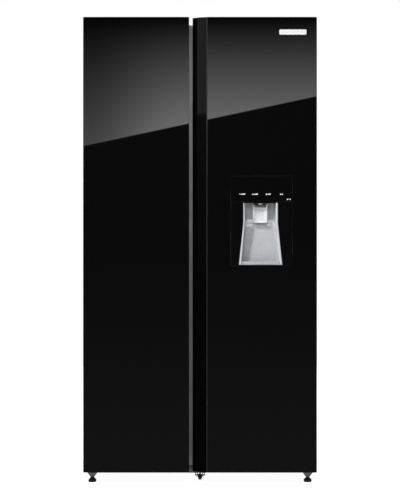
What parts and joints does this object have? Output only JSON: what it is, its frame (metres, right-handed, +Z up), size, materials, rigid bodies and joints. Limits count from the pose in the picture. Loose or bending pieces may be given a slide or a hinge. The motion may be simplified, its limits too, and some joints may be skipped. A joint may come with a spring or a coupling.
{
  "type": "side by side refrigerator",
  "caption": "Black glass side by side refrigerator: a freezer door on the left, a fresh food door with a water dispenser on the right, drawers, shelves and door bins inside.",
  "frame": {"origin": "on the floor, under the middle of the appliance's overall box", "axes": "+Z up, -Y out of the doors, +X to the right as seen by a person facing the doors"},
  "size_m": [0.895, 0.6906, 1.788],
  "materials": {
    "cabinet_paint": "satin",
    "frame_paint": "satin",
    "zinc_sheet": "satin",
    "bracket_steel": "satin",
    "foam": "matte",
    "liner_plastic": "satin",
    "shelf_glass": "gloss",
    "white_trim": "satin",
    "lamp_lens": "satin",
    "coil_aluminium": "satin",
    "compressor_paint": "satin",
    "motor_metal": "satin",
    "screw_steel": "polished",
    "black_plastic": "matte",
    "black_glass": "gloss",
    "gloss_black": "gloss",
    "gasket_rubber": "matte",
    "clear_plastic": "gloss",
    "silver_plastic": "satin",
    "bright_silver": "polished",
    "paddle_silver": "gloss",
    "foot_plastic": "matte"
  },
  "bodies": {
    "root": {"side_panels": "cabinet_paint", "top_panel": "cabinet_paint", "back_panel": "zinc_sheet", "base_frame": "bracket_steel", "machine_bulkhead": "zinc_sheet", "front_frame": "frame_paint", "insulation": "foam", "freezer_liner": "liner_plastic", "fridge_liner": "liner_plastic", "glass_shelves": "shelf_glass", "shelf_trims": "white_trim", "freezer_duct_cover": "liner_plastic", "fridge_duct_cover": "liner_plastic", "evaporator": "coil_aluminium", "lamp_covers": "lamp_lens", "compressor": "compressor_paint", "evaporation_pan": "black_plastic", "condenser": "compressor_paint", "fan_motors": "motor_metal", "machine_cover": "zinc_sheet", "top_hinges": "bracket_steel", "hinge_covers": "black_plastic", "bottom_brackets": "bracket_steel", "centre_bracket": "bracket_steel", "cord_gland": "black_plastic", "fasteners": "screw_steel"},
    "freezer_door": {"freezer_door_glass": "black_glass", "freezer_door_frame": "black_plastic", "freezer_grip_profile": "gloss_black", "freezer_door_core": "foam", "freezer_door_liner": "liner_plastic", "freezer_door_gasket": "gasket_rubber", "freezer_door_bins": "clear_plastic"},
    "fridge_door": {"fridge_door_glass": "black_glass", "fridge_door_frame": "black_plastic", "fridge_grip_profile": "gloss_black", "fridge_door_core": "foam", "fridge_door_liner": "liner_plastic", "fridge_door_gasket": "gasket_rubber", "fridge_door_bins": "clear_plastic", "dispenser_bezel": "gloss_black", "control_panel": "black_glass", "dispenser_niche": "silver_plastic", "water_tank": "clear_plastic", "badge_plate": "bright_silver"},
    "dispenser_paddle": {"dispenser_paddle": "paddle_silver"},
    "drip_tray": {"drip_tray": "silver_plastic"},
    "tank_lid": {"tank_lid": "white_trim"},
    "dairy_flap": {"dairy_flap": "clear_plastic"},
    "freezer_drawer_upper": {"freezer_drawer_upper": "clear_plastic"},
    "freezer_drawer_lower": {"freezer_drawer_lower": "clear_plastic"},
    "crisper_upper": {"crisper_upper": "clear_plastic"},
    "crisper_lower": {"crisper_lower": "clear_plastic"},
    "evaporator_fan": {"evaporator_fan": "black_plastic"},
    "condenser_fan": {"condenser_fan": "black_plastic"},
    "foot_left": {"foot_left": "foot_plastic"},
    "foot_right": {"foot_right": "foot_plastic"},
    "foot_centre": {"foot_centre": "foot_plastic"},
    "roller_left": {"roller_left": "foot_plastic"},
    "roller_right": {"roller_right": "foot_plastic"}
  },
  "joints": [
    {"name": "freezer_door_hinge", "type": "hinge", "parent": "root", "child": "freezer_door", "pos_m": [-0.4275, -0.3047, 0.9], "axis": [0, 0, -1], "range_deg": [0, 120]},
    {"name": "fridge_door_hinge", "type": "hinge", "parent": "root", "child": "fridge_door", "pos_m": [0.4275, -0.3047, 0.9], "axis": [0, 0, 1], "range_deg": [0, 120]},
    {"name": "paddle_pivot", "type": "hinge", "parent": "fridge_door", "child": "dispenser_paddle", "pos_m": [0.232, -0.3087, 1.072], "axis": [1, 0, 0], "range_deg": [0, 12], "stiffness_Nm_per_rad": 0.3},
    {"name": "drip_tray_slide", "type": "slide", "parent": "fridge_door", "child": "drip_tray", "axis": [0, -1, 0], "range_m": [0, 0.03]},
    {"name": "tank_lid_hinge", "type": "hinge", "parent": "fridge_door", "child": "tank_lid", "pos_m": [0.2475, -0.2692, 1.2285], "axis": [1, 0, 0], "range_deg": [0, 85]},
    {"name": "dairy_flap_hinge", "type": "hinge", "parent": "fridge_door", "child": "dairy_flap", "pos_m": [0.2475, -0.2692, 1.5895], "axis": [1, 0, 0], "range_deg": [0, 85]},
    {"name": "freezer_drawer_upper_slide", "type": "slide", "parent": "root", "child": "freezer_drawer_upper", "axis": [0, -1, 0], "range_m": [0, 0.19]},
    {"name": "freezer_drawer_lower_slide", "type": "slide", "parent": "root", "child": "freezer_drawer_lower", "axis": [0, -1, 0], "range_m": [0, 0.19]},
    {"name": "crisper_upper_slide", "type": "slide", "parent": "root", "child": "crisper_upper", "axis": [0, -1, 0], "range_m": [0, 0.19]},
    {"name": "crisper_lower_slide", "type": "slide", "parent": "root", "child": "crisper_lower", "axis": [0, -1, 0], "range_m": [0, 0.19]},
    {"name": "evaporator_fan_spin", "type": "hinge", "parent": "root", "child": "evaporator_fan", "pos_m": [-0.22637, 0.2373, 0.9635], "axis": [0, 1, 0], "continuous": true},
    {"name": "condenser_fan_spin", "type": "hinge", "parent": "root", "child": "condenser_fan", "pos_m": [-0.07, 0.2333, 0.152], "axis": [1, 0, 0], "continuous": true},
    {"name": "foot_left_screw", "type": "slide", "parent": "root", "child": "foot_left", "axis": [0, 0, 1], "range_m": [-0.012, 0]},
    {"name": "foot_right_screw", "type": "slide", "parent": "root", "child": "foot_right", "axis": [0, 0, 1], "range_m": [-0.012, 0]},
    {"name": "foot_centre_screw", "type": "slide", "parent": "root", "child": "foot_centre", "axis": [0, 0, 1], "range_m": [-0.012, 0]},
    {"name": "roller_left_spin", "type": "hinge", "parent": "root", "child": "roller_left", "pos_m": [-0.3595, 0.2733, 0.022], "axis": [1, 0, 0], "continuous": true},
    {"name": "roller_right_spin", "type": "hinge", "parent": "root", "child": "roller_right", "pos_m": [0.3595, 0.2733, 0.022], "axis": [1, 0, 0], "continuous": true}
  ],
  "couplings": [
    {"joint": "freezer_drawer_upper_slide", "follows": "freezer_door_hinge", "m_per_rad": 0.09},
    {"joint": "freezer_drawer_lower_slide", "follows": "freezer_door_hinge", "m_per_rad": 0.09},
    {"joint": "crisper_upper_slide", "follows": "fridge_door_hinge", "m_per_rad": 0.09},
    {"joint": "crisper_lower_slide", "follows": "fridge_door_hinge", "m_per_rad": 0.09}
  ]
}
